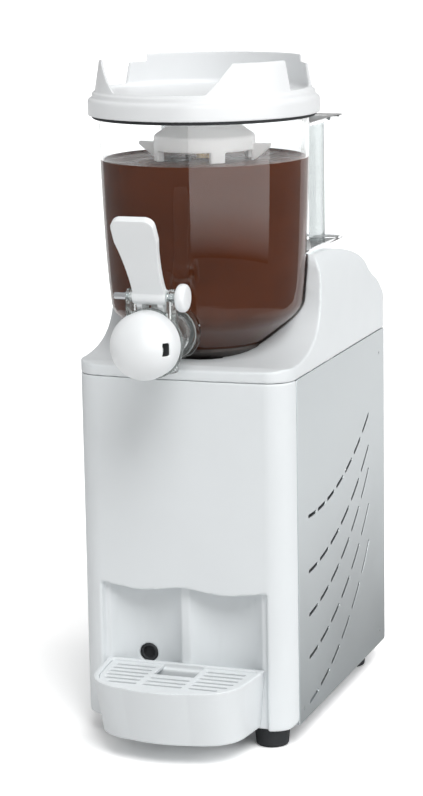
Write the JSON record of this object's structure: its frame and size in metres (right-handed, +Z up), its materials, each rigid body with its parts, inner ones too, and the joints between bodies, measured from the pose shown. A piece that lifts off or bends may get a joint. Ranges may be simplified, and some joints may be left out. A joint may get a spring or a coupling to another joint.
{
  "type": "hot chocolate dispenser",
  "caption": "Countertop hot chocolate dispenser: moulded housing with steel sides, clear heated bowl with stirrer, lid, lever tap and drip tray.",
  "frame": {"origin": "on the table, under the middle of the whole machine's footprint box", "axes": "+Z up, the front with the tap and the drip tray faces -Y, +X to the right seen from the front"},
  "size_m": [0.2048, 0.423, 0.608],
  "materials": {
    "white_plastic": "satin moulded plastic",
    "lid_plastic": "glossy moulded plastic",
    "brushed_steel": "brushed sheet",
    "plain_steel": "plain steel",
    "cast_metal": "die cast",
    "coated_metal": "dark non-stick coating",
    "clear_plastic": "clear polycarbonate",
    "black_rubber": "matte",
    "grey_rubber": "matte",
    "black_plastic": "fine texture",
    "white_nylon": "matte",
    "brass_metal": "turned"
  },
  "bodies": {
    "housing": {"front_casing": "white_plastic", "drain_grommet": "black_rubber", "side_panel_right": "brushed_steel", "side_panel_left": "brushed_steel", "rear_panel": "brushed_steel", "base_pan": "plain_steel", "top_cover": "white_plastic", "inlet_socket": "black_plastic", "switch_frame": "black_plastic", "thermostat_body": "plain_steel", "foot_front_left": "black_rubber", "foot_front_right": "black_rubber", "foot_rear_left": "black_rubber", "foot_rear_right": "black_rubber", "heater_dish": "coated_metal", "heater_element": "plain_steel", "gearbox": "cast_metal", "motor": "plain_steel", "motor_bracket": "plain_steel"},
    "shaft": {"drive_shaft": "plain_steel"},
    "bowl_unit": {"bowl": "clear_plastic", "bowl_handle": "clear_plastic", "stem_bush": "brass_metal", "tap_seal": "black_rubber", "tap_body": "clear_plastic", "tap_cap": "lid_plastic", "tap_gland": "white_nylon", "tap_spring": "plain_steel"},
    "lid_unit": {"lid": "lid_plastic", "lid_seal": "grey_rubber"},
    "stirrer_unit": {"stirrer": "white_nylon"},
    "lever": {"tap_lever": "lid_plastic"},
    "pin": {"tap_pin": "plain_steel", "pin_knob": "lid_plastic"},
    "piston": {"tap_piston": "white_nylon", "piston_ring_lower": "black_rubber", "piston_ring_upper": "black_rubber"},
    "tray": {"drip_tray": "white_plastic"},
    "grille": {"drip_grille": "white_plastic"},
    "rocker": {"switch_rocker": "black_plastic"},
    "knob": {"thermostat_knob": "black_plastic"}
  },
  "joints": [
    {"name": "shaft_spin", "type": "hinge", "parent": "housing", "child": "shaft", "pos_m": [0, -0.0285, 0.4], "axis": [0, 0, 1], "continuous": true},
    {"name": "bowl_lift", "type": "slide", "parent": "housing", "child": "bowl_unit", "axis": [0, 0, 1], "range_m": [0, 0.22]},
    {"name": "stirrer_spin", "type": "hinge", "parent": "bowl_unit", "child": "stirrer_unit", "pos_m": [0, -0.0285, 0.45], "axis": [0, 0, 1], "continuous": true},
    {"name": "lid_lift", "type": "slide", "parent": "bowl_unit", "child": "lid_unit", "axis": [0, 0, 1], "range_m": [0, 0.08]},
    {"name": "lever_pull", "type": "hinge", "parent": "bowl_unit", "child": "lever", "pos_m": [0, -0.1675, 0.417], "axis": [1, 0, 0], "range_deg": [0, 40], "stiffness_Nm_per_rad": 0.8, "springref_deg": -14.32},
    {"name": "piston_slide", "type": "slide", "parent": "bowl_unit", "child": "piston", "axis": [0, 0, 1], "range_m": [0, 0.0118], "deforming": ["tap_spring"]},
    {"name": "pin_pull", "type": "slide", "parent": "bowl_unit", "child": "pin", "axis": [1, 0, 0], "range_m": [0, 0.06]},
    {"name": "tray_slide", "type": "slide", "parent": "housing", "child": "tray", "axis": [0, -1, 0], "range_m": [0, 0.06]},
    {"name": "grille_lift", "type": "slide", "parent": "tray", "child": "grille", "axis": [0, 0, 1], "range_m": [0, 0.03]},
    {"name": "rocker_tilt", "type": "hinge", "parent": "housing", "child": "rocker", "pos_m": [0, 0.1968, 0.07], "axis": [0, 0, 1], "range_deg": [0, 16]},
    {"name": "knob_turn", "type": "hinge", "parent": "housing", "child": "knob", "pos_m": [-0.05, 0.1965, 0.07], "axis": [0, 1, 0], "range_deg": [0, 270]}
  ],
  "couplings": [
    {"joint": "stirrer_spin", "follows": "shaft_spin", "ratio": 1},
    {"joint": "piston_slide", "follows": "lever_pull", "m_per_rad": 0.0165}
  ]
}
